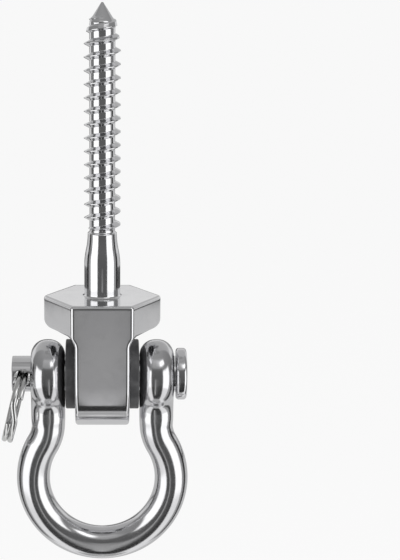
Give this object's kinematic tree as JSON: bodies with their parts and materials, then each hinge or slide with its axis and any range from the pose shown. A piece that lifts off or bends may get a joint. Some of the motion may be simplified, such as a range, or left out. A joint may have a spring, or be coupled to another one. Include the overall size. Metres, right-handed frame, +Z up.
{
  "type": "hammock hook",
  "caption": "Polished steel swing hanger: a lag screw with hex collar and flat tongue carries a bow shackle that pivots on a clevis pin kept in by a split ring.",
  "frame": {"origin": "centre of the hex collar's top face, the face that seats against the beam", "axes": "+Z up along the screw to its tip, +X along the clevis pin towards its head, +Y from the pictured side to the far side"},
  "size_m": [0.0528, 0.0286, 0.1575],
  "materials": {
    "polished_steel": "mirror-polished stainless steel",
    "spring_steel": "bright drawn stainless spring wire",
    "black_nylon": "moulded black nylon, satin"
  },
  "bodies": {
    "hanger": {"lag_screw": "polished_steel", "left_bush": "black_nylon", "right_bush": "black_nylon"},
    "shackle": {"bow_shackle": "polished_steel"},
    "pin": {"clevis_pin": "polished_steel"},
    "ring": {"split_ring": "spring_steel"}
  },
  "joints": [
    {"name": "shackle_swing", "type": "hinge", "parent": "hanger", "child": "shackle", "pos_m": [0, 0, -0.0226], "axis": [1, 0, 0], "range_deg": [-137.5, 137.5]},
    {"name": "pin_turn", "type": "hinge", "parent": "hanger", "child": "pin", "pos_m": [0, 0, -0.0226], "axis": [1, 0, 0], "continuous": true},
    {"name": "ring_swing", "type": "hinge", "parent": "pin", "child": "ring", "pos_m": [-0.02229, 0, -0.0226], "axis": [0, 1, 0], "range_deg": [-9, 150]}
  ]
}
